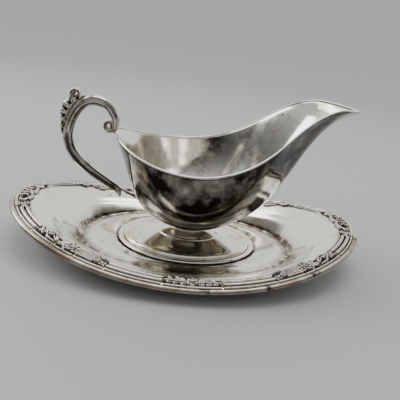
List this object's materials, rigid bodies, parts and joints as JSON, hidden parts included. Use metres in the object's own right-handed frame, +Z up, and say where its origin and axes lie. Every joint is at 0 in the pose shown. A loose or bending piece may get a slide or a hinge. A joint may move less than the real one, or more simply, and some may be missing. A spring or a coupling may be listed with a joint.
{
  "type": "sauce boat on underplate",
  "caption": "Silver-plated pedestal sauce boat with a long spout and scroll handle, standing loose on an oval underplate with a cast border.",
  "frame": {"origin": "middle of the flat face that the underplate rests on", "axes": "+Z up, +X towards the spout, along the underplate's length; front is -Y"},
  "size_m": [0.254, 0.16, 0.1149],
  "materials": {
    "tray_silver": "worn satin silver plate with faint brown tarnish",
    "edge_silver": "rubbed bright silver plate",
    "cast_silver": "cast silver plate, bright on its high points and black in its hollows",
    "foot_silver": "polished silver plate with brown tarnish",
    "bowl_silver": "polished silver plate with grey mottled tarnish",
    "handle_silver": "cast silver plate, rubbed on the grip"
  },
  "bodies": {
    "underplate": {"underplate": "tray_silver", "rolled_edge": "edge_silver", "cartouche_handle_end": "cast_silver", "cartouche_spout_end": "cast_silver", "end_reeding_front_left": "cast_silver", "end_reeding_front_right": "cast_silver", "end_reeding_back_left": "cast_silver", "end_reeding_back_right": "cast_silver", "c_scroll_front_left": "cast_silver", "c_scroll_front_right": "cast_silver", "c_scroll_back_left": "cast_silver", "c_scroll_back_right": "cast_silver", "rose_front_left": "cast_silver", "rose_front_right": "cast_silver", "rose_back_left": "cast_silver", "rose_back_right": "cast_silver", "leaf_scroll_front_left": "cast_silver", "leaf_scroll_front_right": "cast_silver", "leaf_scroll_back_left": "cast_silver", "leaf_scroll_back_right": "cast_silver", "side_reeding_front_left": "cast_silver", "side_reeding_front_right": "cast_silver", "side_reeding_back_left": "cast_silver", "side_reeding_back_right": "cast_silver", "flower_spray_front": "cast_silver", "flower_spray_back": "cast_silver"},
    "boat": {"bowl": "bowl_silver", "rim_wire": "edge_silver", "collar": "edge_silver", "foot": "foot_silver", "foot_ring": "foot_silver", "handle": "handle_silver", "acanthus_leaf": "handle_silver", "thumb_curl": "handle_silver", "handle_bracket": "handle_silver"}
  },
  "joints": [
    {"name": "boat_lift", "type": "slide", "parent": "underplate", "child": "boat", "axis": [0, 0, 1], "range_m": [0, 0.08]}
  ]
}
